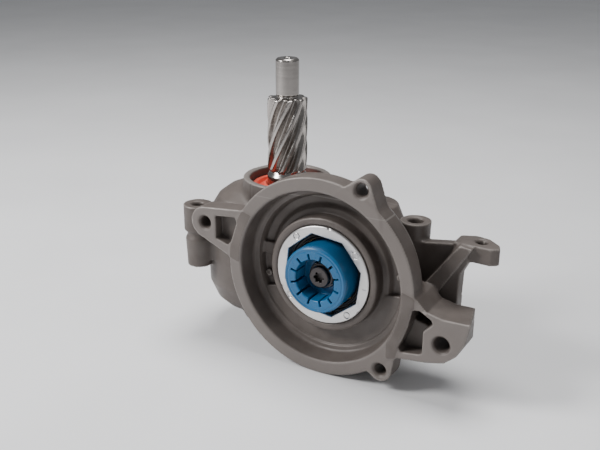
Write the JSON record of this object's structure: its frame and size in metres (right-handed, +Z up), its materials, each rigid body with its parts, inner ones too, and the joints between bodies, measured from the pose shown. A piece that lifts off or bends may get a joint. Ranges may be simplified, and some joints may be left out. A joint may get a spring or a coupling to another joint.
{
  "type": "right angle bevel gearbox",
  "caption": "Cast right-angle gearbox with a bell flange: a vertical helical pinion shaft drives a bevel pair and a blue internally splined output sleeve.",
  "frame": {"origin": "centre of the flat underside of the base cover, on the input shaft's axis", "axes": "+Z up along the input shaft, -Y along the output shaft out of the bell, +X to the right as seen from in front of the bell"},
  "size_m": [0.237, 0.1404, 0.2138],
  "materials": {
    "housing_casting": "matt warm grey paint over a cast, slightly grainy alloy",
    "dark_steel": "phosphated dark steel",
    "bright_alloy": "fine turned, bright",
    "blue_plastic": "satin, moulded",
    "red_rubber": "satin moulded rubber",
    "black_rubber": "matt moulded rubber",
    "brass_cage": "turned",
    "gear_steel": "ground, oiled",
    "polished_steel": "ground bright"
  },
  "bodies": {
    "housing": {"main_housing": "housing_casting", "base_cover": "housing_casting", "cover_screw_1": "dark_steel", "cover_screw_2": "dark_steel", "cover_screw_3": "dark_steel", "cover_screw_4": "dark_steel", "cover_screw_5": "dark_steel", "cover_screw_6": "dark_steel", "ring_nut": "bright_alloy", "output_oil_seal": "black_rubber", "input_oil_seal": "red_rubber", "drain_plug": "polished_steel", "output_front_bearing_outer_race": "polished_steel", "output_rear_bearing_outer_race": "polished_steel", "input_upper_bearing_outer_race": "polished_steel", "input_lower_bearing_outer_race": "polished_steel", "idler_upper_bearing_outer_race": "polished_steel", "idler_lower_bearing_outer_race": "polished_steel"},
    "input": {"input_shaft": "polished_steel", "input_gear": "gear_steel", "input_gear_spacer": "polished_steel", "input_gear_circlip": "dark_steel", "input_upper_bearing_inner_race": "polished_steel", "input_lower_bearing_inner_race": "polished_steel"},
    "idler": {"idler_shaft": "polished_steel", "idler_gear": "gear_steel", "crown_gear": "gear_steel", "crown_gear_circlip": "dark_steel", "idler_upper_bearing_inner_race": "polished_steel", "idler_lower_bearing_inner_race": "polished_steel"},
    "output": {"output_pinion_shaft": "gear_steel", "coupling_sleeve": "blue_plastic", "sleeve_washer": "polished_steel", "sleeve_screw": "dark_steel", "output_front_bearing_inner_race": "polished_steel", "output_rear_bearing_inner_race": "polished_steel"},
    "output_front_bearing_cage": {"output_front_bearing_roller_cage": "brass_cage"},
    "output_rear_bearing_cage": {"output_rear_bearing_roller_cage": "brass_cage"},
    "input_upper_bearing_cage": {"input_upper_bearing_roller_cage": "brass_cage"},
    "input_lower_bearing_cage": {"input_lower_bearing_roller_cage": "brass_cage"},
    "idler_upper_bearing_cage": {"idler_upper_bearing_roller_cage": "brass_cage"},
    "idler_lower_bearing_cage": {"idler_lower_bearing_roller_cage": "brass_cage"}
  },
  "joints": [
    {"name": "idler_spin", "type": "hinge", "parent": "housing", "child": "idler", "pos_m": [0.0547, 0.03024, 0.05], "axis": [0, 0, 1], "continuous": true},
    {"name": "input_spin", "type": "hinge", "parent": "housing", "child": "input", "pos_m": [0, 0, 0.1], "axis": [0, 0, 1], "continuous": true},
    {"name": "output_spin", "type": "hinge", "parent": "housing", "child": "output", "pos_m": [0.0547, 0, 0.073], "axis": [0, 1, 0], "continuous": true},
    {"name": "output_front_bearing_cage_spin", "type": "hinge", "parent": "housing", "child": "output_front_bearing_cage", "pos_m": [0.0547, 0, 0.073], "axis": [0, 1, 0], "continuous": true},
    {"name": "output_rear_bearing_cage_spin", "type": "hinge", "parent": "housing", "child": "output_rear_bearing_cage", "pos_m": [0.0547, 0, 0.073], "axis": [0, 1, 0], "continuous": true},
    {"name": "input_upper_bearing_cage_spin", "type": "hinge", "parent": "housing", "child": "input_upper_bearing_cage", "pos_m": [0, 0, 0.1], "axis": [0, 0, 1], "continuous": true},
    {"name": "input_lower_bearing_cage_spin", "type": "hinge", "parent": "housing", "child": "input_lower_bearing_cage", "pos_m": [0, 0, 0.1], "axis": [0, 0, 1], "continuous": true},
    {"name": "idler_upper_bearing_cage_spin", "type": "hinge", "parent": "housing", "child": "idler_upper_bearing_cage", "pos_m": [0.0547, 0.03024, 0.05], "axis": [0, 0, 1], "continuous": true},
    {"name": "idler_lower_bearing_cage_spin", "type": "hinge", "parent": "housing", "child": "idler_lower_bearing_cage", "pos_m": [0.0547, 0.03024, 0.05], "axis": [0, 0, 1], "continuous": true}
  ],
  "couplings": [
    {"joint": "input_spin", "follows": "idler_spin", "ratio": -1.381},
    {"joint": "output_spin", "follows": "idler_spin", "ratio": -1.3529},
    {"joint": "output_front_bearing_cage_spin", "follows": "idler_spin", "ratio": -0.59039},
    {"joint": "output_rear_bearing_cage_spin", "follows": "idler_spin", "ratio": -0.59039},
    {"joint": "input_upper_bearing_cage_spin", "follows": "idler_spin", "ratio": -0.58938},
    {"joint": "input_lower_bearing_cage_spin", "follows": "idler_spin", "ratio": -0.59885},
    {"joint": "idler_upper_bearing_cage_spin", "follows": "idler_spin", "ratio": 0.43069},
    {"joint": "idler_lower_bearing_cage_spin", "follows": "idler_spin", "ratio": 0.42717}
  ]
}
